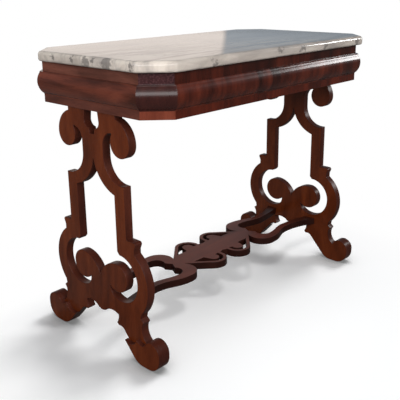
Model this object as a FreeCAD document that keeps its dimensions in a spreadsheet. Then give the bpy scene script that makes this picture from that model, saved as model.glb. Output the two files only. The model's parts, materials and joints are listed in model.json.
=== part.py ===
import FreeCAD, Part
import math
import os
import re
import Sketcher

# Pier table: a loose marble slab on a mitred apron, two scroll-sawn lyre supports and a sawn stretcher.
# Millimetres, +Z up. X runs along the length, the front faces -Y, and the origin is on the floor under the
# middle of the whole table. Spans are measured from the middle line of the piece that they belong to.

SIZES = [
    # Slab
    ("table_height", 850),
    ("top_length", 1022),
    ("top_depth", 557),
    ("marble_thickness", 29),
    ("marble_forward", 9),
    ("marble_top_round", 9),
    ("marble_under_round", 6),
    # Apron, whose moulding is measured outwards from the face of the rails
    ("frame_length", 984),
    ("frame_depth", 537),
    ("corner_clip", 63),
    ("apron_height", 119),
    ("upper_band_height", 30),
    ("lower_band_height", 22),
    ("moulding_reach", 16.5),
    ("moulding_lip", 8.5),
    ("moulding_lip_height", 3),
    ("moulding_crown", 29),
    ("moulding_foot", 4.5),
    ("cove_height", 6),
    ("cove_radius", 8),
    # Inside the apron
    ("corner_block_leg", 50),
    ("corner_block_height", 70),
    ("corner_block_lift", 6),
    ("brace_width", 60),
    ("brace_height", 22),
    ("brace_lap", 12),
    ("brace_spacing", 300),
    # Joints
    ("joint_gap", 0.1),
    ("support_dowel_radius", 5),
    ("support_dowel_length", 50),
    ("support_dowel_span", 67),
    ("support_dowel_pitch", 34),
    ("stretcher_dowel_radius", 4),
    ("stretcher_dowel_pitch", 13),
    ("stretcher_dowel_inset", 7),
    ("stretcher_dowel_in_arm", 26),
    ("stretcher_dowel_in_plank", 18),
    # Lyre support, upper half, measured down from the apron
    ("support_inset", 5),
    ("plank_thickness", 25.5),
    ("keyhole_depth", 65),
    ("keyhole_toe", 9),
    ("keyhole_waist", 12),
    ("keyhole_waist_rise", 15),
    ("keyhole_half", 32),
    ("keyhole_rise", 34),
    ("keyhole_round", 20.5),
    ("keyhole_mouth", 28),
    ("neck_half", 103),
    ("volute_drop", 77.5),
    ("volute_reach", 154.5),
    ("volute_crown_radius", 68),
    ("volute_ball_radius", 39),
    ("volute_tip_inset", 33),
    ("volute_slot_tip", 4),
    ("stem_half", 46),
    ("shoulder_drop", 193.5),
    ("shoulder_radius", 69),
    ("shoulder_flat", 10.5),
    ("post_width", 42),
    ("arch_apex_drop", 135),
    ("arch_spring_drop", 225),
    ("arch_radius", 115),
    # Lyre support, lower half, measured up from the floor
    ("ring_span", 92),
    ("ring_height", 227.5),
    ("ring_radius", 114),
    ("ring_bore_radius", 71),
    ("ring_bore_lift", 5.5),
    ("ring_slot_angle", 63),
    ("ring_slot_radius", 32),
    ("ring_cusp", 9),
    ("step_reach", 36),
    ("step_round", 8),
    ("step_spur", 22),
    ("step_nick", 6),
    ("step_neck", 14),
    ("lobe_span", 76),
    ("lobe_height", 229),
    ("lobe_radius", 43),
    ("lobe_slot_angle", 43),
    ("lobe_valley", 220),
    ("pendant_half", 24),
    ("pendant_drop", 10.5),
    ("lambrequin_height", 114),
    ("lambrequin_radius", 60),
    ("hook_span", 75),
    ("hook_reach", 9),
    ("hook_height", 27),
    ("hook_tip", 7),
    ("hook_radius", 40),
    ("leg_arch_radius", 30),
    # Scroll foot
    ("ankle_angle", 43.5),
    ("ankle_nick_inset", 2.5),
    ("ankle_nick_drop", 13),
    ("ankle_spur_reach", 8.5),
    ("ankle_spur_drop", 22),
    ("ankle_heel_reach", 2),
    ("ankle_heel_drop", 32),
    ("leg_radius", 45),
    ("leg_angle", 47),
    ("leg_run", 85),
    ("toe_span", 225),
    ("toe_height", 54.5),
    ("toe_radius", 32),
    ("toe_notch_angle", 22),
    ("sole_radius", 45),
    ("heel_radius", 50),
    ("sole_flat", 24),
    ("facing_thickness", 14),
    ("facing_height", 56),
    ("facing_cusp_inset", 29),
    ("facing_cusp_rise", 7.5),
    ("facing_heel_sag", 36),
    ("facing_toe_sag", 25),
    # Stretcher, one quarter from its middle
    ("stretcher_top", 149),
    ("stretcher_thickness", 23),
    ("valley_half", 46),
    ("scroll_span", 62),
    ("scroll_offset", 60),
    ("scroll_radius", 45),
    ("scroll_band", 13),
    ("scroll_eye_radius", 20),
    ("scroll_valley_angle", 190),
    ("scroll_slot_angle", 200),
    ("scroll_eye_angle", 25),
    ("scroll_slope", 47.5),
    ("scroll_run", 95),
    ("scroll_slot_base", 40),
    ("scroll_slot_toe", 89),
    ("arm_shoulder_radius", 51),
    ("arm_crest_span", 213),
    ("arm_crest_offset", 103),
    ("arm_bend_span", 275),
    ("arm_bend_offset", 89),
    ("arm_waist_span", 331),
    ("arm_waist_offset", 75.5),
    ("arm_waist_width", 25.5),
    ("arm_end_offset", 112),
    ("arm_end_width", 40),
    ("arm_bend_radius", 146),
    ("arm_flare_radius", 270),
    ("fork_crown_span", 230),
    ("fork_crown_offset", 69),
    ("fork_lobe_span", 208),
    ("fork_lobe_offset", 24),
    ("fork_lobe_radius", 28),
    ("fork_cusp_span", 195),
]

# What follows from the sizes above, as formulas.
DERIVED = {
    "frame_half_length": "frame_length / 2",
    "frame_half_depth": "frame_depth / 2",
    # Slope of a joint at half of the 45 degrees between two sides of the apron.
    "mitre": "tan(45 / 2)",
    # The slab lies forward on the frame, and the origin is under the middle of the two together.
    "marble_end_overhang": "top_length / 2 - frame_half_length",
    "marble_clip": "corner_clip + marble_end_overhang * (2 - sqrt(2))",
    "frame_y": "(top_depth / 2 + marble_forward - frame_half_depth - moulding_reach) / 2",
    "marble_y": "frame_y - marble_forward",
    "apron_top": "table_height - marble_thickness",
    "apron_bottom": "apron_top - apron_height",
    "moulding_top": "apron_top - upper_band_height",
    "moulding_bottom": "apron_bottom + lower_band_height",
    "upper_bow": "moulding_reach - moulding_lip",
    "upper_rise": "moulding_crown - moulding_lip_height",
    "upper_round": "(upper_rise ^ 2 + upper_bow ^ 2) / (2 * upper_bow)",
    "lower_bow": "moulding_reach - moulding_foot",
    "lower_rise": "moulding_top - moulding_bottom - moulding_crown - cove_height",
    "lower_round": "(lower_rise ^ 2 + lower_bow ^ 2) / (2 * lower_bow)",
    "rail_thickness": "support_inset + plank_thickness",
    "inner_half_length": "frame_half_length - rail_thickness",
    "inner_half_depth": "frame_half_depth - rail_thickness",
    # Lyre support
    "keyhole_z": "apron_bottom - keyhole_depth",
    "volute_z": "apron_bottom - volute_drop",
    "crown_span": "volute_reach - volute_crown_radius",
    "crown_z": "volute_z + sqrt(volute_crown_radius ^ 2 - (neck_half - crown_span) ^ 2)",
    "ball_span": "volute_reach - volute_ball_radius",
    "tip_span": "ball_span - volute_tip_inset",
    "tip_z": "volute_z + sqrt(volute_ball_radius ^ 2 - volute_tip_inset ^ 2)",
    "slot_radius": "tip_span - stem_half",
    "slot_top": "tip_z + volute_slot_tip",
    "shoulder_z": "apron_bottom - shoulder_drop",
    "post_half": "stem_half + shoulder_radius + shoulder_flat",
    "post_inner": "post_half - post_width",
    "step_span": "post_half + step_reach",
    "ring_start": "step_span - step_nick",
    "ring_start_z": "ring_height + sqrt(ring_radius ^ 2 - (ring_start - ring_span) ^ 2)",
    "nick_z": "ring_start_z + step_neck",
    "step_z": "nick_z + step_spur",
    "ring_bore_height": "ring_height + ring_bore_lift",
    "ankle_span": "ring_span + ring_radius * cos(ankle_angle)",
    "ankle_z": "ring_height - ring_radius * sin(ankle_angle)",
    "lobe_top": "lobe_height + lobe_radius",
    "lobe_rise": "lobe_top - lobe_valley",
    "lobe_back_radius": "(lobe_span ^ 2 + lobe_rise ^ 2) / (2 * lobe_rise)",
    "pendant_radius": "(pendant_half ^ 2 + pendant_drop ^ 2) / (2 * pendant_drop)",
    "hook_z": "lambrequin_height - hook_height",
    # Scroll foot
    "toe_end": "toe_span + toe_radius",
    "notch_span": "toe_span - toe_radius * cos(toe_notch_angle)",
    "notch_z": "toe_height + toe_radius * sin(toe_notch_angle)",
    "sole_span": "toe_end - sole_radius",
    "heel_span": "sole_span - sole_flat - heel_radius * sin(leg_angle)",
    "heel_z": "heel_radius * (1 - cos(leg_angle))",
    "leg_top_span": "heel_span - leg_run * cos(leg_angle)",
    "leg_top_z": "heel_z + leg_run * sin(leg_angle)",
    "facing_span": "heel_span - (facing_height - heel_z) / tan(leg_angle)",
    # Stretcher
    "slot_outer_radius": "scroll_radius - scroll_band",
    "arm_start_span": "scroll_span + scroll_radius * cos(scroll_slope) + scroll_run * sin(scroll_slope)",
    "arm_start_offset": "scroll_offset + scroll_radius * sin(scroll_slope) - scroll_run * cos(scroll_slope)",
    "slot_shoulder": "scroll_offset + slot_outer_radius * sin(scroll_slope)",
    "slot_corner": "scroll_span + slot_outer_radius * cos(scroll_slope)"
                   " + (slot_shoulder - scroll_slot_base) * tan(scroll_slope)",
    "fork_bend_offset": "(fork_crown_offset + arm_waist_offset - arm_waist_width) / 2",
    "fork_bend_span": "(fork_crown_span + arm_waist_span) / 2",
}

doc = FreeCAD.newDocument("pier_table")
sheet = doc.addObject("Spreadsheet::Sheet", "Sizes")
for row, (alias, number) in enumerate(SIZES, start=1):
    sheet.set("A%d" % row, alias)
    sheet.set("B%d" % row, str(number))
    sheet.setAlias("B%d" % row, alias)
doc.recompute()
ALIASES = {alias for alias, number in SIZES}


def formula(text):
    """Writes out a formula of size names as references to the sheet."""
    def spell(match):
        word = match.group(0)
        if word in DERIVED:
            return "(" + formula(DERIVED[word]) + ")"
        if word in ALIASES:
            return "Sizes." + word
        return word
    return re.sub(r"[a-z][a-z_]*", spell, text)


def measure(text):
    return float(sheet.evalExpression(formula(text)))


def bind(item, **properties):
    for name, text in properties.items():
        item.setExpression(name.replace("__", "."), formula(text))


def line(across, up):
    """A straight step of an outline to the next corner."""
    return across, up, None, None, False


def arc(across, up, radius, turn, longer=False):
    """A round step to the next corner, turning left or right, the shorter or the longer way round."""
    return across, up, radius, turn, longer


def on_circle(across, up, radius, degrees):
    """Formulas of the point at an angle on a circle, counter-clockwise from the right."""
    return ("%s + (%s) * cos(%s)" % (across, radius, degrees), "%s + (%s) * sin(%s)" % (up, radius, degrees))


def arc_geometry(start, end, radius, turn, longer):
    """The arc between two points, and whether it runs from start to end counter-clockwise."""
    chord = end - start
    side = 1 if turn == "left" else -1
    if longer:
        side = -side
    away = math.sqrt(max(radius ** 2 - chord.Length ** 2 / 4, 0))
    normal = FreeCAD.Vector(-chord.y, chord.x, 0).normalize()
    centre = (start + end) * 0.5 + normal * side * away
    circle = Part.Circle(centre, FreeCAD.Vector(0, 0, 1), radius)
    first, last = (start, end) if turn == "left" else (end, start)
    angles = [math.atan2(p.y - centre.y, p.x - centre.x) for p in (first, last)]
    if angles[1] < angles[0]:
        angles[1] += 2 * math.pi
    return Part.ArcOfCircle(circle, angles[0], angles[1]), turn == "left"


def trace(sketch, steps, flip=False):
    """Draws a closed outline. Each corner and radius is bound to the sheet; flip mirrors it left to right."""
    if flip:
        swap = {"left": "right", "right": "left", None: None}
        steps = [("-(%s)" % s[0], s[1], s[2], swap[s[3]], s[4]) for s in steps]
    points = [FreeCAD.Vector(measure(s[0]), measure(s[1]), 0) for s in steps]
    ends = []
    for index, (across, up, radius, turn, longer) in enumerate(steps):
        start, end = points[index - 1], points[index]
        if radius is None:
            geometry = sketch.addGeometry(Part.LineSegment(start, end))
            ends.append((geometry, 1, 2))
        else:
            shape, forward = arc_geometry(start, end, measure(radius), turn, longer)
            geometry = sketch.addGeometry(shape)
            ends.append((geometry, 1, 2) if forward else (geometry, 2, 1))
    for index, (geometry, begin, finish) in enumerate(ends):
        following = ends[(index + 1) % len(ends)]
        sketch.addConstraint(Sketcher.Constraint("Coincident", geometry, finish, following[0], following[1]))
    for (across, up, radius, turn, longer), (geometry, begin, finish), point in zip(steps, ends, points):
        for axis, text, place in (("X", across, point.x), ("Y", up, point.y)):
            if text == "0":
                axis_line = -2 if axis == "X" else -1
                sketch.addConstraint(Sketcher.Constraint("PointOnObject", geometry, finish, axis_line))
                continue
            limit = Sketcher.Constraint("Distance" + axis, -1, 1, geometry, finish, place)
            bind_constraint(sketch, limit, text)
        if radius is not None:
            bind_constraint(sketch, Sketcher.Constraint("Radius", geometry, measure(radius)), radius)


def bind_constraint(sketch, constraint, text):
    index = sketch.addConstraint(constraint)
    name = "size_%d" % index
    sketch.renameConstraint(index, name)
    sketch.setExpression("Constraints." + name, formula(text))


def origin_plane(body, role):
    return next(feature for feature in body.Origin.OriginFeatures if feature.Role == role)


def new_body(label, turn=0, x="0", y="0"):
    """A body whose own origin stands at x, y on the floor, turned about the vertical."""
    body = doc.addObject("PartDesign::Body", label)
    body.Placement = FreeCAD.Placement(FreeCAD.Vector(), FreeCAD.Rotation(FreeCAD.Vector(0, 0, 1), turn))
    bind(body, Placement__Base__x=x, Placement__Base__y=y)
    return body


def new_sketch(body, plane, away="0"):
    """A sketch on one of the body's own planes, or at a distance from it."""
    sketch = body.newObject("Sketcher::SketchObject", body.Label + "_sketch")
    sketch.AttachmentSupport = [(origin_plane(body, plane), "")]
    sketch.MapMode = "FlatFace"
    bind(sketch, AttachmentOffset__Base__z=away)
    return sketch


def new_pad(body, sketch, length):
    pad = body.newObject("PartDesign::Pad", body.Label + "_pad")
    pad.Profile = sketch
    bind(pad, Length=length)
    return pad


def mirror(body, feature, *planes):
    """Repeats a feature on the other side of one plane, or of two."""
    if len(planes) == 1:
        copy = body.newObject("PartDesign::Mirrored", body.Label + "_mirror")
        copy.Originals = [feature]
        copy.MirrorPlane = (origin_plane(body, planes[0]), [""])
    else:
        copy = body.newObject("PartDesign::MultiTransform", body.Label + "_mirrors")
        copy.Originals = [feature]
        halves = []
        for plane in planes:
            half = body.newObject("PartDesign::Mirrored", body.Label + "_mirror")
            half.MirrorPlane = (origin_plane(body, plane), [""])
            halves.append(half)
        copy.Transformations = halves
    body.Tip = copy
    return copy


def cylinder(label, radius, length, turn, x, y, z):
    """A round pin from x, y, z upwards, or along X where turn is given as 90 or -90."""
    pin = doc.addObject("Part::Cylinder", label)
    pin.Placement = FreeCAD.Placement(FreeCAD.Vector(), FreeCAD.Rotation(FreeCAD.Vector(0, 1, 0), turn))
    bind(pin, Radius=radius, Height=length, Placement__Base__x=x, Placement__Base__y=y, Placement__Base__z=z)
    return pin


def group(label, members):
    bundle = doc.addObject("Part::Compound", label)
    bundle.Links = members
    return bundle


def drilled(label, blank, bores):
    """The blank with the bores cut out of it."""
    blank.Label = label + "_blank"
    cut = doc.addObject("Part::Cut", label)
    cut.Base = blank
    cut.Tool = bores
    return cut


# Sides of the apron: turn of the outward direction from +Y, half length of the face, and its middle.
CORNER_X = "(frame_half_length - corner_clip / 2)"
CORNER_Y = "(frame_half_depth - corner_clip / 2)"
LONG_HALF = "(frame_half_length - corner_clip)"
END_HALF = "(frame_half_depth - corner_clip)"
CORNER_HALF = "(corner_clip / sqrt(2))"
SIDES = {
    "front": (180, LONG_HALF, "0", "frame_y - frame_half_depth"),
    "rear": (0, LONG_HALF, "0", "frame_y + frame_half_depth"),
    "left_end": (90, END_HALF, "-frame_half_length", "frame_y"),
    "right_end": (-90, END_HALF, "frame_half_length", "frame_y"),
    "front_left_corner": (135, CORNER_HALF, "-" + CORNER_X, "frame_y - " + CORNER_Y),
    "front_right_corner": (-135, CORNER_HALF, CORNER_X, "frame_y - " + CORNER_Y),
    "rear_left_corner": (45, CORNER_HALF, "-" + CORNER_X, "frame_y + " + CORNER_Y),
    "rear_right_corner": (-45, CORNER_HALF, CORNER_X, "frame_y + " + CORNER_Y),
}


def mitred_strip(half, inner, outer):
    """Plan of a strip between two distances from the apron's face, with ends at half the corner's angle."""
    near = "(%s + (%s) * mitre)" % (half, inner)
    far = "(%s + (%s) * mitre)" % (half, outer)
    return [line("-" + near, inner), line(near, inner), line(far, outer), line("-" + far, outer)]


def make_marble():
    body = new_body("marble_top", 0, "0", "marble_y")
    sketch = new_sketch(body, "XY_Plane", "apron_top")
    half_x, half_y = "top_length / 2", "top_depth / 2"
    clip_x, clip_y = "(top_length / 2 - marble_clip)", "(top_depth / 2 - marble_clip)"
    trace(sketch, [
        line(half_x, clip_y), line(clip_x, half_y), line("-" + clip_x, half_y), line("-" + half_x, clip_y),
        line("-" + half_x, "-" + clip_y), line("-" + clip_x, "-" + half_y),
        line(clip_x, "-" + half_y), line(half_x, "-" + clip_y),
    ])
    slab = new_pad(body, sketch, "marble_thickness")
    for level, radius in (("table_height", "marble_top_round"), ("apron_top", "marble_under_round")):
        doc.recompute()
        height = measure(level)
        rim = [
            "Edge%d" % number for number, edge in enumerate(slab.Shape.Edges, start=1)
            if all(abs(vertex.Z - height) < 0.01 for vertex in edge.Vertexes)
        ]
        rounding = body.newObject("PartDesign::Fillet", "marble_rounding")
        rounding.Base = (slab, rim)
        bind(rounding, Radius=radius)
        slab = rounding
    return body


def make_rail(side):
    turn, half, x, y = SIDES[side]
    body = new_body(side + "_rail", turn, x, y)
    core = new_sketch(body, "XY_Plane", "apron_bottom")
    trace(core, mitred_strip(half, "-rail_thickness", "0"))
    new_pad(body, core, "apron_height")
    if side in ("front", "rear"):
        cut_brace_seats(body)
    return body


def cut_brace_seats(body):
    """Seats along the inner top edge, where the cross braces are let in."""
    sketch = new_sketch(body, "XY_Plane", "apron_top")
    inner, outer = "-rail_thickness", "(brace_lap + joint_gap - rail_thickness)"
    reach = "(brace_width / 2 + joint_gap)"
    for middle in ("-brace_spacing", "0", "brace_spacing"):
        left, right = "(%s - %s)" % (middle, reach), "(%s + %s)" % (middle, reach)
        trace(sketch, [line(left, inner), line(right, inner), line(right, outer), line(left, outer)])
    seats = body.newObject("PartDesign::Pocket", "brace_seats")
    seats.Profile = sketch
    bind(seats, Length="brace_height")


def make_moulding(side):
    """The rounded strip on a rail: a lip, the round in two arcs, and a cove down to the lower band."""
    turn, half, x, y = SIDES[side]
    body = new_body(side + "_moulding", turn, x, y)
    profile = new_sketch(body, "YZ_Plane")
    trace(profile, [
        line("0", "moulding_top"),
        line("moulding_lip", "moulding_top"),
        line("moulding_lip", "moulding_top - moulding_lip_height"),
        arc("moulding_reach", "moulding_top - moulding_crown", "upper_round", "right"),
        arc("moulding_foot", "moulding_bottom + cove_height", "lower_round", "right"),
        arc("0", "moulding_bottom", "cove_radius", "left"),
    ])
    strip = new_pad(body, profile, "2 * (%s + moulding_reach)" % half)
    strip.Midplane = True
    ends = new_sketch(body, "XY_Plane")
    inner, outer = "-moulding_reach", "(2 * moulding_reach)"
    near, far = "(%s - moulding_reach * mitre)" % half, "(%s + 2 * moulding_reach * mitre)" % half
    beyond = "(%s + 2 * moulding_reach)" % half
    waste = [line(near, inner), line(far, outer), line(beyond, outer), line(beyond, inner)]
    trace(ends, waste)
    trace(ends, waste, flip=True)
    mitres = body.newObject("PartDesign::Pocket", "mitres")
    mitres.Profile = ends
    mitres.Type = "ThroughAll"
    mitres.Reversed = True
    return body


def make_corner_block(side):
    """A glue block that fills the angle behind a clipped corner and reaches along the rails beside it."""
    turn, half, x, y = SIDES[side]
    body = new_body(side + "_block", turn, x, y)
    sketch = new_sketch(body, "XY_Plane", "apron_bottom + corner_block_lift")
    front = "-rail_thickness"
    back = "-(rail_thickness + corner_block_leg / sqrt(2))"
    near = "(%s - rail_thickness * mitre)" % half
    far = "(%s - rail_thickness * mitre + corner_block_leg / sqrt(2))" % half
    trace(sketch, [line("-" + near, front), line(near, front), line(far, back), line("-" + far, back)])
    new_pad(body, sketch, "corner_block_height")
    return body


def make_brace(label, middle):
    brace = doc.addObject("Part::Box", label)
    reach = "(inner_half_depth + brace_lap)"
    bind(brace, Length="brace_width", Width="2 * " + reach, Height="brace_height",
         Placement__Base__x="%s - brace_width / 2" % middle, Placement__Base__y="frame_y - " + reach,
         Placement__Base__z="apron_top - brace_height")
    return brace


def lyre_half():
    """Outline of one half of a lyre support, clockwise from the keyhole under the apron."""
    return [
        # Keyhole, neck and volute
        line("0", "keyhole_z"),
        line("keyhole_toe", "keyhole_z"),
        line("keyhole_waist", "keyhole_z + keyhole_waist_rise"),
        arc("keyhole_half", "keyhole_z + keyhole_rise", "keyhole_round", "left"),
        line("keyhole_mouth", "apron_bottom"),
        line("neck_half", "apron_bottom"),
        line("neck_half", "crown_z"),
        arc("volute_reach", "volute_z", "volute_crown_radius", "right"),
        arc("tip_span", "tip_z", "volute_ball_radius", "right", longer=True),
        line("tip_span", "slot_top"),
        arc("stem_half", "slot_top - slot_radius", "slot_radius", "left"),
        # Stem, shoulder and post
        line("stem_half", "shoulder_z + shoulder_radius"),
        arc("stem_half + shoulder_radius", "shoulder_z", "shoulder_radius", "left"),
        line("post_half", "shoulder_z"),
        line("post_half", "step_z"),
        line("step_span - step_round", "step_z"),
        arc("step_span", "step_z - step_round", "step_round", "right"),
        line("ring_start", "nick_z"),
        line("ring_start", "ring_start_z"),
        # Ring and ankle
        arc("ankle_span", "ankle_z", "ring_radius", "right"),
        line("ankle_span - ankle_nick_inset", "ankle_z - ankle_nick_drop"),
        line("ankle_span + ankle_spur_reach", "ankle_z - ankle_spur_drop"),
        line("ankle_span + ankle_heel_reach", "ankle_z - ankle_heel_drop"),
        arc("notch_span", "notch_z", "leg_radius", "left"),
    ] + foot_outline() + [
        # Leg, hook and lambrequin
        line("leg_top_span", "leg_top_z"),
        arc("hook_span - hook_reach + hook_tip", "hook_z - hook_tip", "leg_arch_radius", "left"),
        line("hook_span - hook_reach", "hook_z"),
        arc("hook_span", "lambrequin_height", "hook_radius", "left"),
        arc("pendant_half", "lambrequin_height", "lambrequin_radius", "left"),
        arc("0", "lambrequin_height - pendant_drop", "pendant_radius", "right"),
        # Lobe and the slot that curls under it
        line("0", "lobe_valley"),
        arc("lobe_span", "lobe_top", "lobe_back_radius", "right"),
        arc(*on_circle("lobe_span", "lobe_height", "lobe_radius", "180 + lobe_slot_angle"),
            "lobe_radius", "right", longer=True),
        arc(*on_circle("ring_span", "ring_bore_height", "ring_bore_radius", "180 + ring_slot_angle"),
            "ring_slot_radius", "left"),
        arc("ring_span", "ring_bore_height + ring_bore_radius", "ring_bore_radius", "left", longer=True),
        # Inner edge of the post, and the pointed arch
        line("post_inner", "ring_bore_height + ring_bore_radius + ring_cusp"),
        line("post_inner", "apron_bottom - arch_spring_drop"),
        arc("0", "apron_bottom - arch_apex_drop", "arch_radius", "right"),
    ]


def foot_outline():
    """Toe, sole and heel, from the notch above the toe to the back of the heel."""
    return [
        arc("toe_end", "toe_height", "toe_radius", "right"),
        line("toe_end", "sole_radius"),
        arc("sole_span", "0", "sole_radius", "right"),
        line("sole_span - sole_flat", "0"),
        arc("heel_span", "heel_z", "heel_radius", "right"),
    ]


# The two ends: turn that takes the inner face towards the middle, and the sign of X.
ENDS = {"left": (-90, "-"), "right": (90, "")}


def make_support(end):
    turn, sign = ENDS[end]
    body = new_body(end + "_support", turn, sign + "inner_half_length", "frame_y")
    sketch = new_sketch(body, "XZ_Plane")
    trace(sketch, lyre_half())
    half = new_pad(body, sketch, "plank_thickness")
    mirror(body, half, "YZ_Plane")
    return body


def make_facing(end, place):
    """The thicker block on the outer face of a scroll foot."""
    turn, sign = ENDS[end]
    body = new_body("%s_%s_foot_facing" % (end, place), turn, sign + "inner_half_length", "frame_y")
    sketch = new_sketch(body, "XZ_Plane", "plank_thickness")
    outline = [
        line("facing_span", "facing_height"),
        arc("notch_span - facing_cusp_inset", "notch_z + facing_cusp_rise", "facing_heel_sag", "left"),
        arc("notch_span", "notch_z", "facing_toe_sag", "left"),
    ]
    front_is_right = end == "left"
    trace(sketch, outline + foot_outline(), flip=(place == "front") != front_is_right)
    new_pad(body, sketch, "facing_thickness")
    return body


def stretcher_quarter():
    """Outline of a quarter of the stretcher, from its middle round to the cusp of the fork."""
    scroll = ("scroll_span", "scroll_offset", "scroll_radius")
    return [
        line("0", "0"),
        line("0", "valley_half"),
        line(*on_circle(*scroll, "scroll_valley_angle")),
        arc(*on_circle(*scroll, "scroll_slope"), "scroll_radius", "right"),
        line("arm_start_span", "arm_start_offset"),
        arc("arm_crest_span", "arm_crest_offset", "arm_shoulder_radius", "right"),
        arc("arm_bend_span", "arm_bend_offset", "arm_bend_radius", "right"),
        arc("arm_waist_span", "arm_waist_offset", "arm_bend_radius", "left"),
        arc("inner_half_length", "arm_end_offset", "arm_flare_radius", "left"),
        line("inner_half_length", "arm_end_offset - arm_end_width"),
        arc("arm_waist_span", "arm_waist_offset - arm_waist_width", "2 * arm_flare_radius", "right"),
        arc("fork_bend_span", "fork_bend_offset", "arm_bend_radius", "right"),
        arc("fork_crown_span", "fork_crown_offset", "arm_bend_radius", "left"),
        arc("fork_lobe_span", "fork_lobe_offset", "fork_lobe_radius", "left"),
        line("fork_cusp_span", "0"),
    ]


def scroll_slot():
    """The slot that is cut round the eye of a scroll."""
    outer = ("scroll_span", "scroll_offset", "slot_outer_radius")
    eye = ("scroll_span", "scroll_offset", "scroll_eye_radius")
    return [
        line("slot_corner", "scroll_slot_base"),
        line(*on_circle(*outer, "scroll_slope")),
        arc(*on_circle(*outer, "scroll_slot_angle"), "slot_outer_radius", "left"),
        line(*on_circle(*eye, "scroll_slot_angle")),
        arc(*on_circle(*eye, "scroll_eye_angle"), "scroll_eye_radius", "right"),
        line("scroll_slot_toe", "scroll_slot_base"),
    ]


def make_stretcher():
    body = new_body("stretcher", 0, "0", "frame_y")
    sketch = new_sketch(body, "XY_Plane", "stretcher_top - stretcher_thickness")
    trace(sketch, stretcher_quarter())
    trace(sketch, scroll_slot())
    quarter = new_pad(body, sketch, "stretcher_thickness")
    mirror(body, quarter, "YZ_Plane", "XZ_Plane")
    return body


def support_pins(end, label, gap):
    """Upright pins from the necks of a support into the end rail."""
    sign = ENDS[end][1]
    pins = []
    for side in ("-", ""):
        for step in ("-", "+"):
            y = "frame_y + %s(support_dowel_span %s support_dowel_pitch / 2)" % (side, step)
            pins.append(cylinder(
                label + "_pin", "support_dowel_radius + %s" % gap, "support_dowel_length + 2 * %s" % gap, 0,
                "%s(inner_half_length + plank_thickness / 2)" % sign, y,
                "apron_bottom - support_dowel_length / 2 - %s" % gap))
    return group(label, pins)


def stretcher_pins(end, label, gap):
    """Level pins from the arms of the stretcher into a support."""
    turn, sign = ENDS[end]
    length = "stretcher_dowel_in_arm + stretcher_dowel_in_plank + 2 * %s" % gap
    pins = []
    for side in ("-", ""):
        for step in ("-", "+"):
            middle = "arm_end_offset - arm_end_width / 2 - stretcher_dowel_inset"
            y = "frame_y + %s(%s %s stretcher_dowel_pitch / 2)" % (side, middle, step)
            pins.append(cylinder(
                label + "_pin", "stretcher_dowel_radius + %s" % gap, length, turn,
                "%s(inner_half_length - stretcher_dowel_in_arm - %s)" % (sign, gap), y,
                "stretcher_top - stretcher_thickness / 2"))
    return group(label, pins)


nodes = {}


def keep(part, label=None):
    label = label or part.Label
    part.Label = label
    nodes[label] = part


keep(make_marble())
for side in SIDES:
    rail = make_rail(side)
    if side.endswith("_end"):
        end = side.split("_")[0]
        top_bores = support_pins(end, end + "_top_bores", "joint_gap")
        rail = drilled(side + "_rail", rail, top_bores)
    keep(rail, side + "_rail")
    keep(make_moulding(side))
    if side.endswith("_corner"):
        keep(make_corner_block(side))
keep(make_brace("left_brace", "-brace_spacing"))
keep(make_brace("centre_brace", "0"))
keep(make_brace("right_brace", "brace_spacing"))
for end in ENDS:
    bores = group(end + "_support_bores", [
        support_pins(end, end + "_neck_bores", "joint_gap"),
        stretcher_pins(end, end + "_plank_bores", "joint_gap"),
    ])
    keep(drilled(end + "_support", make_support(end), bores), end + "_support")
    for place in ("front", "rear"):
        keep(make_facing(end, place))
    keep(support_pins(end, end + "_support_dowels", "0"))
    keep(stretcher_pins(end, end + "_stretcher_dowels", "0"))
arm_bores = group("arm_bores", [stretcher_pins(end, end + "_arm_bores", "joint_gap") for end in ENDS])
keep(drilled("stretcher", make_stretcher(), arm_bores), "stretcher")

doc.recompute()
failed = [item.Label for item in doc.Objects if "Invalid" in item.State or "Error" in item.State]
failed += [label for label, part in nodes.items() if part.Shape.isNull() or not part.Shape.isValid()]
if failed:
    raise RuntimeError("These did not build: " + ", ".join(failed))

os.makedirs("parts", exist_ok=True)
for label, part in nodes.items():
    part.Shape.exportStep("parts/%s.step" % label)
    print("%-28s %2d solid(s) %12.0f mm3" % (label, len(part.Shape.Solids), part.Shape.Volume))
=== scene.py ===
# %% [markdown]
# # A pier table with a marble top
#
# The table stands against a wall between two windows. A loose slab of veined marble with clipped
# corners lies on a veneered apron, and two lyre-shaped planks, tied together by a flat scroll-sawn
# board, carry it all.
#
# The CAD model already holds every piece in its right place. This lesson dresses it: it sets up the
# camera, the light and the floor, mixes the finishes, and then makes each visible piece once more
# with the softened edges and the smooth rounds that a polished table has.

# %% Load the frame
import json
import math

import bpy
from mathutils import Matrix, Vector

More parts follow.
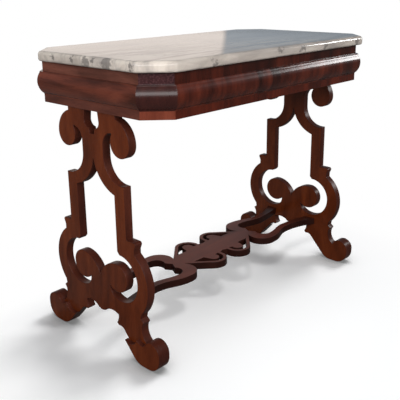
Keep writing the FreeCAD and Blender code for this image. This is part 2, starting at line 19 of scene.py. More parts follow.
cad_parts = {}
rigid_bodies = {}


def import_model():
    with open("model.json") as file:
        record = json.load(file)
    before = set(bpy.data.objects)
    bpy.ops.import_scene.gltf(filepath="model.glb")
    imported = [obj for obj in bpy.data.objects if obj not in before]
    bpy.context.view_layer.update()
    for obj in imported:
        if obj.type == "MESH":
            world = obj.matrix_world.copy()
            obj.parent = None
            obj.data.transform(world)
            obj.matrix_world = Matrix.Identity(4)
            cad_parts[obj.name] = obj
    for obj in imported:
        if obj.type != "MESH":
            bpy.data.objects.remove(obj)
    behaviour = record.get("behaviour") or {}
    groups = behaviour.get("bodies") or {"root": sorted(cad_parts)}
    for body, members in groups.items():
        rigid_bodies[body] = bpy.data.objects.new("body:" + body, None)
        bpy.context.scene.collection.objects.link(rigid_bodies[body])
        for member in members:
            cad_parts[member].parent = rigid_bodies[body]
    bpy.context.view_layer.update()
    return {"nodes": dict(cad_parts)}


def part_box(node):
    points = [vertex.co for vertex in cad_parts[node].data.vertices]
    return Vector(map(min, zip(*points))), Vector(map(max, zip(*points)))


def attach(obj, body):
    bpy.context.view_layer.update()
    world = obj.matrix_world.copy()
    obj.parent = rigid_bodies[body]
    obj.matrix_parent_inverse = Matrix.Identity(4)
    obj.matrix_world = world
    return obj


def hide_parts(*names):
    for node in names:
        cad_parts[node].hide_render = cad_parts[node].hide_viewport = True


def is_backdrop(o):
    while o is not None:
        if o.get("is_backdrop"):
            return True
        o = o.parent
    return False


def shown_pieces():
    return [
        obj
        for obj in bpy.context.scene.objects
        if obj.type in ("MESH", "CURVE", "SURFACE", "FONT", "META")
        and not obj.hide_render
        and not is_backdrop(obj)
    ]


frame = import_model()

# %% [markdown]
# ## The camera
#
# The photograph was taken a little to the left of the front-left corner, from just above the height
# of the slab. A camera can be aimed by eye, but this one was solved from the corners of the slab, the
# apron and the feet, so that the render lies over the photograph. The view is shifted a little
# downwards, as with a view camera, so that the uprights stay nearly parallel.

# %% Camera
CAMERA_PLACE = Vector((-1.52155, -1.38075, 1.0314))
CAMERA_YAW = 0.8137
CAMERA_PITCH = 0.2867
CAMERA_ROLL = -0.0126
LENS = 57.61
SENSOR_WIDTH = 36
VIEW_SHIFT = -0.075

bpy.ops.object.select_all(action="DESELECT")
bpy.ops.object.camera_add()
camera = bpy.context.object
camera.name = "photo_camera"
turn = Matrix.Rotation(-CAMERA_YAW, 4, "Z") @ Matrix.Rotation(math.pi / 2 - CAMERA_PITCH, 4, "X")
camera.matrix_world = Matrix.Translation(CAMERA_PLACE) @ turn @ Matrix.Rotation(CAMERA_ROLL, 4, "Z")
camera.data.lens = LENS
camera.data.sensor_width = SENSOR_WIDTH
camera.data.shift_y = VIEW_SHIFT
bpy.context.scene.camera = camera
# Colours come out as they are written, without a film curve.
bpy.context.scene.view_settings.view_transform = "Standard"
print("The camera stands %.2f m from the floor under the middle of the table" % CAMERA_PLACE.length)

# %% [markdown]
# ## Small tools for node trees
#
# A material in Blender is a graph of nodes. It could be wired by hand in the shader editor, and in a
# script every node takes a few lines. These short functions keep the graphs below readable: first the
# ones that make a node or an empty material, then one for each kind of node that the finishes use
# again and again.


# %% Making nodes
def node(tree, kind, inputs=None, **settings):
    """Adds a node. Inputs are given by name or number.

    An output socket of another node is linked, anything else is a value."""
    made = tree.nodes.new("ShaderNode" + kind)
    for name, value in settings.items():
        setattr(made, name, value)
    for key, value in (inputs or {}).items():
        if isinstance(value, bpy.types.NodeSocket):
            tree.links.new(value, made.inputs[key])
        else:
            made.inputs[key].default_value = value
    return made


def new_material(name):
    """An empty material, its tree, and the place on the piece that its patterns are drawn by."""
    material = bpy.data.materials.new(name)
    material.use_nodes = True
    tree = material.node_tree
    tree.nodes.clear()
    return material, tree, node(tree, "TexCoord").outputs["Object"]


# %% Patterns and colours
def mapped(tree, vector, stretch=(1, 1, 1), turn=(0, 0, 0), shift=(0, 0, 0)):
    """Stretches, turns and shifts the coordinates of a pattern."""
    return node(tree, "Mapping", {"Vector": vector, "Location": shift, "Rotation": turn,
                                  "Scale": stretch}).outputs["Vector"]


def noise(tree, vector, scale, detail, roughness=0.5, distortion=0.0):
    """Soft random blotches from 0 to 1. Distortion makes them wander."""
    return node(tree, "TexNoise", {"Vector": vector, "Scale": scale, "Detail": detail,
                                   "Roughness": roughness, "Distortion": distortion}).outputs["Fac"]


def ramp(tree, factor, stops):
    """A colour ramp: each stop is a place from 0 to 1 and a colour."""
    made = node(tree, "ValToRGB", {"Fac": factor})
    points = made.color_ramp.elements
    while len(points) < len(stops):
        points.new(0.5)
    for point, (place, colour) in zip(points, stops):
        point.position = place
        point.color = (*colour, 1)
    return made.outputs["Color"]


def blend(tree, share, first, second, how="MIX"):
    """Lays a share of the second colour over the first."""
    return node(tree, "Mix", {0: share, 6: first, 7: second}, data_type="RGBA", blend_type=how).outputs[2]


# %% Sums
def between(tree, value, low, high, out_low=0.0, out_high=1.0, smooth=False):
    """Spreads the values from low to high over another range, and stops at its ends."""
    kind = "SMOOTHSTEP" if smooth else "LINEAR"
    return node(tree, "MapRange", {"Value": value, "From Min": low, "From Max": high, "To Min": out_low,
                                   "To Max": out_high}, interpolation_type=kind).outputs["Result"]


def sums(tree, operation, *values):
    return node(tree, "Math", dict(enumerate(values)), operation=operation).outputs[0]


def distance_from(tree, place, point):
    return node(tree, "VectorMath", {0: place, 1: point}, operation="DISTANCE").outputs["Value"]


def axis(tree, place, letter):
    return node(tree, "SeparateXYZ", {0: place}).outputs[letter]


# %% [markdown]
# ## The room
#
# The photograph was taken in a dim studio with a white paper sweep behind the table. The sweep shows
# as the pale left half of the polished top, and the room beside it as a blue-grey field with a
# straight edge between them. A picture of a studio could be wrapped around the scene, but the polish
# shows only three plain fields: a white panel, a blue-grey wall that darkens to the right, and a grey
# room. The camera itself sees only white.

# %% Fields of the room
SWEEP_FROM = math.radians(2)
SWEEP_TO = math.radians(48.9)
WALL_TO = math.radians(76)
SWEEP_TOP = 0.27
START_BLUR = 0.2
EDGE_BLUR = 0.004
WALL_BLUR = 0.1
TOP_BLUR = 0.03

world = bpy.data.worlds.new("studio")
bpy.context.scene.world = world
world.use_nodes = True
sky = world.node_tree
sky.nodes.clear()
direction = node(sky, "TexCoord").outputs["Generated"]


def beyond(heading, blur):
    """0 on the left of an upright plane through the middle of the room, 1 on its right."""
    rightwards = (math.cos(heading), -math.sin(heading), 0)
    side = node(sky, "VectorMath", {0: direction, 1: rightwards}, operation="DOT_PRODUCT").outputs["Value"]
    return between(sky, side, -blur, blur)


def short_of(heading, blur):
    """1 on the left of such a plane, 0 on its right."""
    return sums(sky, "SUBTRACT", 1.0, beyond(heading, blur))


below_top = between(sky, axis(sky, direction, "Z"), SWEEP_TOP - TOP_BLUR, SWEEP_TOP + TOP_BLUR, 1.0, 0.0)
panel = sums(sky, "MULTIPLY", beyond(SWEEP_FROM, START_BLUR), short_of(SWEEP_TO, EDGE_BLUR))
panel = sums(sky, "MULTIPLY", panel, below_top)
on_wall = sums(sky, "MULTIPLY", beyond(SWEEP_TO, EDGE_BLUR), short_of(WALL_TO, WALL_BLUR))
on_wall = sums(sky, "MULTIPLY", on_wall, below_top)
print("The sweep ends", round(math.degrees(SWEEP_TO), 1), "degrees to the right of straight back")

# %% Colours of the room
SWEEP_WHITE = (0.94, 0.845, 0.785, 1)
WALL_NEAR = (0.41, 0.455, 0.50)
WALL_FAR = (0.115, 0.165, 0.215)
WALL_FADE = 0.12
WALL_FADE_BLUR = 0.22
ROOM_GREY = (0.165, 0.175, 0.185, 1)
WHITE = (1, 1, 1, 1)

wall = ramp(sky, beyond(SWEEP_TO + WALL_FADE, WALL_FADE_BLUR), [(0, WALL_NEAR), (1, WALL_FAR)])
room = blend(sky, on_wall, ROOM_GREY, wall)
room = blend(sky, panel, room, SWEEP_WHITE)
room_light = node(sky, "Background", {"Color": room, "Strength": 1.0})
white = node(sky, "Background", {"Color": WHITE, "Strength": 1.0})
seen = node(sky, "LightPath").outputs["Is Camera Ray"]
both = node(sky, "MixShader", {0: seen, 1: room_light.outputs[0], 2: white.outputs[0]})
node(sky, "OutputWorld", {"Surface": both.outputs[0]})
print("The room takes", len(sky.nodes), "nodes")


# %% [markdown]
# ## The lamps for the table
#
# Polish shows a lamp as a patch of light, so the patches in the photograph tell where the lamps
# stood. A strip by the camera draws the pale band on the clipped corner, two broad softboxes light
# the left end and the front, and a window and a dim strip on the right draw the glints at the far end
# of the apron. The last lamp stands low behind the table, for whoever walks round it, and is left out
# of reflections. Point lamps would be simpler, but they leave hard dots on polish, and an area lamp's
# size sets how soft its patch looks.


# %% Lamps for the table
def softbox(name, place, target, width, height, radiance):
    """An area lamp that faces a point. Its power follows from how bright its face looks."""
    bpy.ops.object.light_add(type="AREA", location=place)
    lamp = bpy.context.object
    lamp.name = name
    lamp.rotation_euler = (Vector(target) - Vector(place)).to_track_quat("-Z", "Y").to_euler()
    lamp.data.shape = "RECTANGLE"
    lamp.data.size = width
    lamp.data.size_y = height
    lamp.data.energy = radiance * math.pi * width * height
    print(name, "gives", round(lamp.data.energy, 1), "W")
    return lamp


# Each lamp has its place, the point that it faces, its width and height, and its brightness.
table_lamps = [
    softbox("corner_strip", (-2.02, -1.68, 1.26), (-0.48, -0.25, 0.77), 1.1, 0.75, 4.0),
    softbox("left_softbox", (-2.4, -0.65, 1.6), (-0.4, 0, 0.6), 1.2, 1.2, 5.8),
    softbox("front_softbox", (-0.95, -2.35, 1.7), (0, 0, 0.6), 1.2, 1.2, 7.6),
    softbox("right_window", (2.9, -1.55, 1.50), (0.4, -0.28, 0.77), 0.60, 0.60, 19.0),
    softbox("right_strip", (2.15, -1.98, 1.55), (-0.1, -0.28, 0.77), 1.0, 0.9, 0.22),
    softbox("rear_softbox", (0.6, 2.5, 0.52), (0.1, 0, 0.45), 1.8, 0.6, 8.0),
]
table_lamps[-1].visible_glossy = False

# %% [markdown]
# ## The lamps for the floor
#
# No single lamp gives the shadow in the photograph. The slab's part is broad and lies nearly straight
# below it, the supports' parts lie as crescents on the left, and the stretcher's is larger than the
# board itself, as under a lamp that hangs low. So each has a lamp of its own: a high sun, a sun from
# the side, and a small low lamp. A near lamp leaves a bright spot on the floor, so the low one is
# told not to fade with distance.


# %% Lamps for the floor
def sun(name, slope, spread, share):
    """A soft sun from the right. Slope is how far a shadow moves for each unit of height."""
    bpy.ops.object.light_add(type="SUN", rotation=(0, math.atan(slope), 0))
    lamp = bpy.context.object
    lamp.name = name
    lamp.data.angle = math.radians(spread)
    lamp.data.energy = share * math.pi / math.cos(math.atan(slope))
    print(name, "gives", share, "of the light on white paper")
    return lamp


LOW_PLACE = (-0.16, -0.29, 0.62)
LOW_RADIUS = 0.055
LOW_POWER = 8.4
high_sun = sun("high_sun", slope=0.17, spread=32, share=0.16)
side_sun = sun("side_sun", slope=0.98, spread=24, share=0.385)
bpy.ops.object.light_add(type="POINT", location=LOW_PLACE)
low_lamp = bpy.context.object
low_lamp.name = "low_lamp"
low_lamp.visible_camera = False
low_lamp.data.shadow_soft_size = LOW_RADIUS
low_lamp.data.energy = LOW_POWER
low_lamp.data.use_nodes = True
glow = low_lamp.data.node_tree
even = node(glow, "LightFalloff", {"Strength": 1.0}).outputs["Constant"]
glow.links.new(even, glow.nodes["Emission"].inputs["Strength"])

# %% [markdown]
# ## The floor
#
# The floor keeps the shadow of the table near the feet and fades into white further out, as a paper
# sweep does. A bent sheet could be modelled, but it would stand in the way of the other views, so the
# floor is flat and its colour does the fading. Where a foot meets the paper little light comes in:
# the ambient occlusion node measures that and darkens the paper there. For every ray but the camera's
# it is a plain dark floor, so that the polished wood doesn't mirror a white sheet.

# %% Floor
FLOOR_SIZE = 120
SHADE_CENTRE = (-0.03, -0.05, 0)
SHADE_REACH = 0.59
WHITE_REACH = 0.97
WHITE_BEHIND = (0.26, 0.42)
NOOK_SIZE = 0.12
NOOK_OPENNESS = (0.35, 0.95)
PAPER_TONES = (0.12, 0.945)
PAPER_LIFT = 0.17
PLAIN_FLOOR = (0.16, 0.155, 0.15, 1)

bpy.ops.mesh.primitive_plane_add(size=FLOOR_SIZE)
floor = bpy.context.object
floor.name = "floor"
floor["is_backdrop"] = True
paper, tree, place = new_material("floor_paper")
outwards = between(tree, distance_from(tree, place, SHADE_CENTRE), SHADE_REACH, WHITE_REACH, smooth=True)
behind = between(tree, axis(tree, place, "Y"), *WHITE_BEHIND, smooth=True)
fade = sums(tree, "MAXIMUM", outwards, behind)
nook = node(tree, "AmbientOcclusion", {"Distance": NOOK_SIZE}, samples=12).outputs["AO"]
lit = node(tree, "BsdfDiffuse", {"Color": between(tree, nook, *NOOK_OPENNESS, *PAPER_TONES, smooth=True)})
lift = node(tree, "Emission", {"Color": WHITE, "Strength": PAPER_LIFT})
near = node(tree, "AddShader", {0: lit.outputs[0], 1: lift.outputs[0]})
far = node(tree, "Emission", {"Color": WHITE, "Strength": 1.0})
shown = node(tree, "MixShader", {0: fade, 1: near.outputs[0], 2: far.outputs[0]})
plain = node(tree, "BsdfDiffuse", {"Color": PLAIN_FLOOR})
seen = node(tree, "LightPath").outputs["Is Camera Ray"]
whole = node(tree, "MixShader", {0: seen, 1: plain.outputs[0], 2: shown.outputs[0]})
node(tree, "OutputMaterial", {"Surface": whole.outputs[0]})
floor.data.materials.append(paper)
print("The floor is white from", WHITE_REACH, "m outwards")

# %% [markdown]
# ## Mahogany
#
# All the wood that shows is mahogany under french polish: a deep red-brown with darker flame figure,
# fine pores that run with the grain, and a hard gloss that is not quite even after many years. A
# scanned wood could be wrapped on, but it would show seams on the sawn scrolls. Noise that is drawn
# out along the grain runs through the whole piece, as wood does. One function mixes it from the
# direction of the grain and the tones.

# %% Grain
GRAIN_TURNS = {"X": (0, 0, 0), "Y": (0, 0, math.radians(-90)), "Z": (0, math.radians(90), 0)}
FLAME_STRETCH = (1.6, 6.0, 6.0)
STREAK_STRETCH = (3.0, 34.0, 34.0)
PORE_STRETCH = (45.0, 900.0, 900.0)


def grain(tree, place, along, shift):
    """Broad flames, narrow streaks and fine pores. Along is the axis that the grain follows."""
    # The pattern is drawn with the grain along X, so the coordinates are turned first.
    laid = mapped(tree, place, turn=GRAIN_TURNS[along], shift=shift)
    flames = noise(tree, mapped(tree, laid, FLAME_STRETCH), 2.2, 3, distortion=0.9)
    streaks = noise(tree, mapped(tree, laid, STREAK_STRETCH), 1.2, 3, distortion=0.4)
    pores = noise(tree, mapped(tree, laid, PORE_STRETCH), 1.0, 2)
    return flames, streaks, pores


# %% Second leaf and painted shade at the ends
TONE_STOPS = (0.0, 0.5, 1.0)
BAND_SPLIT = 0.76
FLECK_SCALE = 240.0
FLECK_RANGE = (0.48, 0.66)
END_SHADE_FADE = 0.15
END_SHADE_DEPTH = 0.35


def second_leaf(tree, place, spread, wood, tones, flecked):
    """Lays another leaf of veneer above the moulding, with bare flecks if it is worn."""
    leaf = ramp(tree, spread, list(zip(TONE_STOPS, tones)))
    if flecked:
        bare = between(tree, noise(tree, place, FLECK_SCALE, 3), *FLECK_RANGE)
        leaf = blend(tree, bare, leaf, (*flecked, 1))
    above = sums(tree, "GREATER_THAN", axis(tree, place, "Z"), BAND_SPLIT)
    return blend(tree, above, wood, leaf)


def shaded_ends(tree, place, colour, reach):
    """Paints shade on the wood beyond a distance from the middle, where the supports shade the stretcher.
    """
    out = sums(tree, "ABSOLUTE", axis(tree, place, "X"))
    end_shade = between(tree, out, reach, reach + END_SHADE_FADE, 1.0, END_SHADE_DEPTH, smooth=True)
    return blend(tree, 1.0, colour, end_shade, "MULTIPLY")


# %% Mahogany function
STREAK_SHARE = 0.30
FIGURE_SPREAD = 0.24
PORE_STOPS = [(0.34, (0.55, 0.55, 0.55)), (0.5, (1, 1, 1))]
PORE_SHARE = 0.5


def mahogany(name, along, tones, upper=None, figure=1.0, shift=(0, 0, 0), gloss=0.22, shine=1.46,
             dark_ends=None, flecked=None):
    """Polished mahogany. Along is the axis that the grain follows, tones are dark, middle and light.

    Upper gives other tones above the moulding, where a different leaf of veneer was laid, and flecked the
    colour of the bare flecks in it. Shine is the index of refraction: a sawn edge holds less polish than a
    face. Dark_ends is how far from the middle of the table painted shade begins to darken the wood, where
    the supports shade the ends of the stretcher."""
    material, tree, place = new_material(name)
    flames, streaks, pores = grain(tree, place, along, shift)
    mixed = node(tree, "Mix", {0: STREAK_SHARE, 2: flames, 3: streaks}, data_type="FLOAT").outputs[0]
    spread = between(tree, mixed, 0.5 - FIGURE_SPREAD / figure, 0.5 + FIGURE_SPREAD / figure)
    wood = ramp(tree, spread, list(zip(TONE_STOPS, tones)))
    if upper:
        wood = second_leaf(tree, place, spread, wood, upper, flecked)
    colour = blend(tree, PORE_SHARE, wood, ramp(tree, pores, PORE_STOPS), "MULTIPLY")
    if dark_ends:
        colour = shaded_ends(tree, place, colour, dark_ends)

    # The polish is a little rougher over the streaks. It waves slightly and sinks into the pores.
    rough = between(tree, streaks, 0.0, 1.0, gloss - 0.03, gloss + 0.05)
    uneven = noise(tree, place, 14.0, 2)
    waves = node(tree, "Bump", {"Height": uneven, "Strength": 0.10, "Distance": 0.004}).outputs["Normal"]
    relief = node(tree, "Bump", {"Height": pores, "Normal": waves, "Strength": 0.03, "Distance": 0.0004})
    skin = node(tree, "BsdfPrincipled", {"Base Color": colour, "Roughness": rough,
                                         "Normal": relief.outputs["Normal"], "IOR": shine})
    node(tree, "OutputMaterial", {"Surface": skin.outputs[0]})
    return material


# %% [markdown]
# ## A wood for each piece
#
# Every board and every leaf of veneer came from its own log, so each has its own tones. One wood for
# all would be quicker, but the joints would vanish. The faces of the supports are red, and the sawn
# edges are darker and duller: partly as sawn wood is, and partly as painted shade where the edges turn
# away from the light. The stretcher is browner, with painted shade at its ends, where the supports
# shade it. The apron is veneered: upright leaves on the front, lengthwise leaves on the ends, and a
# worn, flecked leaf at the top of the clipped corners.

# %% Sawn boards
plank_wood = mahogany("plank_mahogany", "Z",
                      ((0.070, 0.0130, 0.0033), (0.123, 0.0231, 0.0056), (0.184, 0.0380, 0.0094)),
                      figure=1.15, gloss=0.24)
# The sawn edges are darker than the faces, partly as sawn wood is and partly as painted shade where they
# turn from the light.
plank_edges_with_shade = mahogany("shaded_sawn_edge_mahogany", "Z",
                       ((0.036, 0.0084, 0.0047), (0.068, 0.0154, 0.0084), (0.114, 0.0268, 0.0136)),
                       shift=(0.5, 0.2, 0.1), gloss=0.34, shine=1.28)
# The stretcher's wood carries painted shade towards its ends, where the supports shade it.
board_wood = mahogany("board_mahogany", "X",
                      ((0.074, 0.0146, 0.0074), (0.132, 0.0270, 0.0142), (0.186, 0.0415, 0.0215)),
                      shift=(0.3, 0.1, 0), gloss=0.30, shine=1.52, dark_ends=0.27)
# The stretcher's sawn edges are darker still, partly their own tone and partly painted shade.
board_edges_with_shade = mahogany("shaded_board_edge_mahogany", "X",
                       ((0.014, 0.0040, 0.0030), (0.026, 0.0072, 0.0050), (0.042, 0.0115, 0.0075)),
                       shift=(0.1, 0.4, 0), gloss=0.34, shine=1.25)
print("Boards:", [wood.name for wood in (plank_wood, plank_edges_with_shade, board_wood, board_edges_with_shade)])

# %% Veneers
front_bands = mahogany("front_band_veneer", "Z",
                       ((0.034, 0.0052, 0.0023), (0.078, 0.0112, 0.0045), (0.134, 0.0195, 0.0072)),
                       upper=((0.017, 0.0030, 0.0016), (0.047, 0.0078, 0.0036), (0.098, 0.0165, 0.0074)),
                       figure=1.3, shift=(0.7, 0.2, 0.4), gloss=0.16)
end_bands = mahogany("end_band_veneer", "Y",
                     ((0.074, 0.0225, 0.0148), (0.122, 0.0360, 0.0236), (0.160, 0.0475, 0.0300)),
                     upper=((0.080, 0.0260, 0.0172), (0.156, 0.0520, 0.0350), (0.225, 0.0735, 0.0480)),
                     figure=1.7, shift=(0.2, 0.6, 0.1), gloss=0.2)
corner_bands = mahogany("corner_band_veneer", "Z",
                        ((0.106, 0.0215, 0.0112), (0.172, 0.0380, 0.0200), (0.236, 0.0560, 0.0290)),
                        upper=((0.026, 0.0080, 0.0090), (0.039, 0.0120, 0.0135), (0.056, 0.0175, 0.0180)),
                        gloss=0.16, flecked=(0.092, 0.0340, 0.0370))
front_rounds = mahogany("front_moulding_veneer", "Z",
                        ((0.019, 0.0034, 0.0020), (0.066, 0.0114, 0.0058), (0.132, 0.0232, 0.0104)),
                        figure=1.7, shift=(0.1, 0.9, 0.2), gloss=0.21, shine=1.41)
corner_rounds = mahogany("corner_moulding_veneer", "Z",
                         ((0.013, 0.0032, 0.0028), (0.040, 0.0100, 0.0080), (0.084, 0.0200, 0.0140)),
                         shift=(0.1, 0.9, 0.2), gloss=0.21, shine=1.50)
end_rounds = mahogany("end_moulding_veneer", "Y",
                      ((0.056, 0.0140, 0.0082), (0.146, 0.0355, 0.0200), (0.230, 0.0560, 0.0300)),
                      figure=1.8, shift=(0.4, 0.3, 0.8), gloss=0.18)
print("Veneers:", [m.name for m in bpy.data.materials if "veneer" in m.name])

# %% [markdown]
# ## Marble
#
# The slab is white marble that has warmed with age, clouded with grey and crossed by thin dark veins
# that run mostly along its length. A marble picture would have to be cut and joined at the rim, while
# noise in space carries every cloud over the edge. Clouds are slow noise. A vein is where another
# noise crosses its middle value: taking the distance from that value and keeping only the smallest
# distances leaves thin wandering lines.


# %% Clouds and smoke
STONE_STOPS = [(0.34, (0.47, 0.410, 0.360)), (0.50, (0.69, 0.612, 0.538)), (0.7, (0.78, 0.705, 0.620))]
SMOKE_GREY = (0.36, 0.315, 0.285, 1)


def clouded(tree, place):
    """The clouds by themselves, and the colour of the clouded stone with long smoky bands."""
    clouds = noise(tree, mapped(tree, place, (1.0, 2.8, 2.8)), 3.4, 5, 0.62, 0.7)
    long_way = mapped(tree, place, (0.9, 7.0, 4.0), turn=(0, 0, 0.10))
    smoke = between(tree, noise(tree, long_way, 2.6, 4, 0.6, 0.8), 0.49, 0.68, 0.0, 0.8)
    return clouds, blend(tree, smoke, ramp(tree, clouds, STONE_STOPS), SMOKE_GREY)


# %% Veins
# Each kind of vein has its scale, stretch, width, shift, strength and colour.
VEINS = (
    (2.6, (0.7, 3.0, 2.6), 0.045, (0.3, 0.0, 0.0), 0.40, (0.33, 0.30, 0.285, 1)),
    (6.0, (0.7, 2.6, 2.2), 0.040, (0.0, 0.5, 0.2), 0.45, (0.26, 0.245, 0.24, 1)),
)


def vein(tree, place, scale, stretch, width, shift):
    """Thin lines where a stretched noise passes its middle value: 1 on the line, 0 away from it."""
    drawn = mapped(tree, place, stretch, turn=(0.2, 0.1, 0.25), shift=shift)
    off = sums(tree, "SUBTRACT", noise(tree, drawn, scale, 6, 0.55, 0.6), 0.5)
    return between(tree, sums(tree, "ABSOLUTE", off), 0.0, width, 1.0, 0.0)


def veined(tree, place, colour):
    """Draws the veins, kept to a few places by a slow mask."""
    gate = between(tree, noise(tree, place, 4.0, 2), 0.44, 0.64)
    for scale, stretch, width, shift, strength, tint in VEINS:
        line = sums(tree, "MULTIPLY", vein(tree, place, scale, stretch, width, shift), gate)
        colour = blend(tree, sums(tree, "MULTIPLY", line, strength), colour, tint)
    return colour


# %% Dark spots
# Dark inclusions, each with its place and radius, most of them on the left end and along the front.
SPOTS = [
    ((-0.513, -0.024, 0.833), 0.018), ((-0.513, -0.108, 0.836), 0.025), ((-0.513, 0.035, 0.838), 0.010),
    ((-0.513, -0.050, 0.840), 0.010), ((-0.513, 0.125, 0.840), 0.008), ((-0.505, -0.200, 0.838), 0.009),
    ((-0.30, -0.289, 0.835), 0.010), ((-0.02, -0.289, 0.838), 0.012), ((0.09, -0.289, 0.836), 0.011),
    ((0.21, -0.289, 0.834), 0.009), ((0.40, -0.289, 0.838), 0.014), ((0.512, 0.06, 0.835), 0.018),
    ((0.15, 0.26, 0.835), 0.022),
]
SPOT_GREY = (0.14, 0.125, 0.12, 1)
SPOT_CORE = 0.55
SPOT_STRENGTH = 0.72
SPOT_RAGGED = 0.014


def spotted(tree, place, colour):
    """Draws the spots, with edges made ragged by fine noise."""
    fine = noise(tree, place, 55.0, 4, 0.65)
    ragged = between(tree, fine, 0.3, 0.7, -SPOT_RAGGED, SPOT_RAGGED)
    for spot, radius in SPOTS:
        reach = sums(tree, "ADD", distance_from(tree, place, spot), ragged)
        dark = between(tree, reach, radius * SPOT_CORE, radius, SPOT_STRENGTH, 0.0)
        colour = blend(tree, dark, colour, SPOT_GREY)
    return colour


# %% Marble finish
MARBLE_SHINE = 1.52
marble_finish, tree, place = new_material("veined_marble")
clouds, colour = clouded(tree, place)
colour = spotted(tree, place, veined(tree, place, colour))
rough = between(tree, clouds, 0.0, 1.0, 0.05, 0.11)
uneven = noise(tree, place, 9.0, 2)
relief = node(tree, "Bump", {"Height": uneven, "Strength": 0.02, "Distance": 0.001}).outputs["Normal"]
skin = node(tree, "BsdfPrincipled", {"Base Color": colour, "Roughness": rough, "Normal": relief,
                                     "IOR": MARBLE_SHINE})
node(tree, "OutputMaterial", {"Surface": skin.outputs[0]})
print("Marble:", len(tree.nodes), "nodes and", len(SPOTS), "dark spots")

# %% [markdown]
# ## Pine
#
# The blocks and braces inside the apron were never meant to be seen. They are bare pine, darkened by
# age: yellow early wood with brown late-wood lines, and no gloss. The mahogany function could be bent
# to it, but bare wood needs neither figure nor polish, so a shorter one is clearer.

# %% Pine function
PINE_STOPS = [(0.35, (0.23, 0.12, 0.05)), (0.5, (0.42, 0.26, 0.12)), (0.7, (0.50, 0.33, 0.17))]
PINE_STRETCH = (2.0, 40.0, 40.0)
PINE_ROUGHNESS = 0.75


def pine(name, along):
    material, tree, place = new_material(name)
    laid = mapped(tree, place, turn=GRAIN_TURNS[along])
    rings = noise(tree, mapped(tree, laid, PINE_STRETCH), 2.0, 3, distortion=0.4)
    relief = node(tree, "Bump", {"Height": rings, "Strength": 0.25, "Distance": 0.0006}).outputs["Normal"]
    skin = node(tree, "BsdfPrincipled", {"Base Color": ramp(tree, rings, PINE_STOPS),
                                         "Roughness": PINE_ROUGHNESS, "Normal": relief})
    node(tree, "OutputMaterial", {"Surface": skin.outputs[0]})
    return material


brace_pine = pine("brace_pine", "Y")
block_pine = pine("block_pine", "Z")
print("Pine for the braces and the corner blocks")

# %% [markdown]
# ## The slab
#
# On the real table the slab is sawn, its corners are clipped and its rim is rubbed round. An outline
# could be drawn and extruded, but the mason's way is as short: a box of the right size, its four
# upright edges cut off at 45 degrees, the new corners eased, and then the top and bottom rims
# rounded, the top one more.


# %% Choosing edges
def only(piece):
    """Selects one object and nothing else."""
    bpy.ops.object.select_all(action="DESELECT")
    piece.select_set(True)
    bpy.context.view_layer.objects.active = piece


def choose_edges(piece, wanted):
    """In edit mode, selects the edges for which wanted(first corner, second corner) is true."""
    bpy.ops.object.mode_set(mode="EDIT")
    bpy.ops.mesh.select_mode(type="EDGE")
    bpy.ops.mesh.select_all(action="DESELECT")
    bpy.ops.object.mode_set(mode="OBJECT")
    corners = piece.data.vertices
    for item in piece.data.edges:
        item.select = wanted(corners[item.vertices[0]].co, corners[item.vertices[1]].co)
    bpy.ops.object.mode_set(mode="EDIT")


def upright(first, second):
    return abs(first.z - second.z) > 0.01


# %% Slab
CLIP = 0.07413
CORNER_SOFTENING = 0.006
TOP_ROUND = 0.011
UNDER_ROUND = 0.007
SAME_LEVEL = 1e-5
SMOOTH_BELOW = math.radians(30)

low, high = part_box("marble_top")
bpy.ops.object.select_all(action="DESELECT")
bpy.ops.mesh.primitive_cube_add(size=1, location=(low + high) / 2, scale=high - low)
slab = bpy.context.object
slab.name = "marble_slab"
bpy.ops.object.transform_apply(location=True, rotation=True, scale=True)
choose_edges(slab, upright)
bpy.ops.mesh.bevel(offset=CLIP, segments=1, affect="EDGES")
choose_edges(slab, upright)
bpy.ops.mesh.bevel(offset=CORNER_SOFTENING, segments=5, affect="EDGES", profile=0.5)
for level, radius, steps in ((high.z, TOP_ROUND, 10), (low.z, UNDER_ROUND, 7)):
    choose_edges(slab, lambda a, b: abs(a.z - level) < SAME_LEVEL and abs(b.z - level) < SAME_LEVEL)
    bpy.ops.mesh.bevel(offset=radius, segments=steps, affect="EDGES", profile=0.5)
bpy.ops.object.mode_set(mode="OBJECT")
bpy.ops.object.shade_smooth_by_angle(angle=SMOOTH_BELOW)
slab.data.materials.append(marble_finish)
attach(slab, "slab")
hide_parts("marble_top")
print("The slab has", len(slab.data.polygons), "faces")

# %% [markdown]
# ## The sawn and moulded wood
#
# Each wooden piece takes its outline from its CAD node. It could be drawn again by hand, but the
# scrolls have many curves, and every one would have to meet its neighbour. So a copy of the node is
# merged into one skin, its flat faces are joined again, and every sharp edge gets a small round,
# which catches the light as the edges of old furniture do. A board's round has the tone of its sawn
# edge, and the apron's keeps the tone of the veneer.


# %% Softened copies
EDGE_ROUND = 0.0012
JOINT_ROUND = 0.0005
SHARP = math.radians(32)
SAME_PLACE = 0.00001
SAME_PLANE = math.radians(0.4)
FACE_LIMIT = 0.7


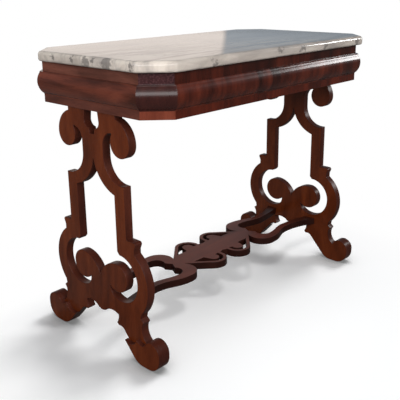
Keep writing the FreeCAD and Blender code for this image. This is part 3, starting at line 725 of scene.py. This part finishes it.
def softened(node_name, piece_name, face_wood, edge_wood=None, flat=None, rounding=EDGE_ROUND):
    """A copy of a CAD node with joined faces and small rounds along its sharp edges.

    Flat is the direction that the faces of a board look in. What looks another way was sawn: edge wood,
    which is darker partly as sawn wood is and partly as painted shade."""
    source = frame["nodes"][node_name]
    piece = bpy.data.objects.new(piece_name, source.data.copy())
    bpy.context.scene.collection.objects.link(piece)
    only(piece)
    bpy.ops.object.mode_set(mode="EDIT")
    bpy.ops.mesh.select_all(action="SELECT")
    bpy.ops.mesh.remove_doubles(threshold=SAME_PLACE)
    bpy.ops.mesh.dissolve_limited(angle_limit=SAME_PLANE)
    bpy.ops.object.mode_set(mode="OBJECT")
    piece.data.materials.clear()
    piece.data.materials.append(face_wood)
    piece.data.materials.append(edge_wood or face_wood)
    bpy.ops.object.shade_smooth_by_angle(angle=SHARP)
    if flat:
        for face in piece.data.polygons:
            face.material_index = 0 if abs(face.normal.dot(flat)) > FACE_LIMIT else 1
    soft = piece.modifiers.new("edge_round", "BEVEL")
    soft.width = rounding
    soft.segments = 2
    soft.limit_method = "ANGLE"
    soft.angle_limit = SHARP
    soft.use_clamp_overlap = False
    soft.harden_normals = True
    soft.material = 1
    bpy.ops.object.modifier_apply(modifier=soft.name)
    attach(piece, "table")
    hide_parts(node_name)
    return piece


# %% [markdown]
# ## The apron
#
# The apron is a frame of eight sides. Each side is a flat rail with a heavy rounded moulding glued
# on, and all of them meet in mitres. The frame could be one skin, but then the grain would run round
# the corners, and veneer stops at a mitre. So each side is dressed by itself, with only a hair's
# breadth of rounding at the joints.

# %% Apron
SIDES = ["front", "rear", "left_end", "right_end", "front_left_corner", "front_right_corner",
         "rear_left_corner", "rear_right_corner"]
for side in SIDES:
    if side.endswith("_corner"):
        bands, rounds = corner_bands, corner_rounds
    elif side.endswith("_end"):
        bands, rounds = end_bands, end_rounds
    else:
        bands, rounds = front_bands, front_rounds
    rail = softened(side + "_rail", side + "_band", bands, rounding=JOINT_ROUND)
    strip = softened(side + "_moulding", side + "_round", rounds, rounding=JOINT_ROUND)
    print(side, len(rail.data.polygons), "and", len(strip.data.polygons), "faces")

# %% [markdown]
# ## Supports, feet and stretcher
#
# The lyres, the facings of their feet and the stretcher are sawn from flat boards. The two sides of a
# board are planed and polished, and everything between them was sawn. The sawn faces could be picked
# one by one, but their direction tells them apart: the supports' sides look along the table, the
# stretcher's up and down.

# %% Supports, feet and stretcher
ACROSS = Vector((1, 0, 0))
UPWARD = Vector((0, 0, 1))
for end in ("left", "right"):
    lyre = softened(end + "_support", end + "_lyre", plank_wood, plank_edges_with_shade, ACROSS)
    print(lyre.name, len(lyre.data.polygons), "faces")
    for side in ("front", "rear"):
        foot = "%s_%s_foot" % (end, side)
        softened(foot + "_facing", foot, plank_wood, plank_edges_with_shade, ACROSS)
board = softened("stretcher", "stretcher_board", board_wood, board_edges_with_shade, UPWARD)
print(board.name, len(board.data.polygons), "faces")

# %% [markdown]
# ## Inside the apron
#
# The blocks, braces and dowels are plain sawn sticks that show only when the slab is lifted. They
# could be softened too, but rough carcass wood has crisp edges, so they keep their CAD shape and only
# get their wood.

# %% Hidden pieces
hidden = 0
for name, item in frame["nodes"].items():
    if name.endswith(("_block", "_brace", "_dowels")):
        item.data.materials.clear()
        item.data.materials.append(brace_pine if name.endswith("_brace") else block_pine)
        hidden += 1
print("Pine for", hidden, "hidden pieces")

# %% [markdown]
# ## What each lamp lights
#
# In a real studio every lamp lights everything, and flags and screens keep the light off where it
# isn't wanted. Light linking is Blender's way of doing that. The lamps for the table light the table
# alone. The lamps for the floor light the floor alone, and each draws the shadow of its own pieces,
# so that shadow and gloss can be set one by one as the photograph has them.


# %% Light linking
def listed(name, members):
    """A collection that only serves as a list for a lamp."""
    made = bpy.data.collections.new(name)
    for member in members:
        made.objects.link(member)
    return made


feet = [o for o in bpy.context.scene.objects if o.name.endswith("_foot")]
lyres = [o for o in bpy.context.scene.objects if o.name.endswith("_lyre")]
table_pieces = listed("table_pieces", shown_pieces())
floor_only = listed("floor_only", [floor])
for lamp in table_lamps:
    lamp.light_linking.receiver_collection = table_pieces
for lamp, blockers in ((high_sun, listed("slab_and_feet", [slab] + feet)),
                       (low_lamp, listed("board_only", [board])),
                       (side_sun, listed("base_pieces", feet + lyres))):
    lamp.light_linking.receiver_collection = floor_only
    lamp.light_linking.blocker_collection = blockers
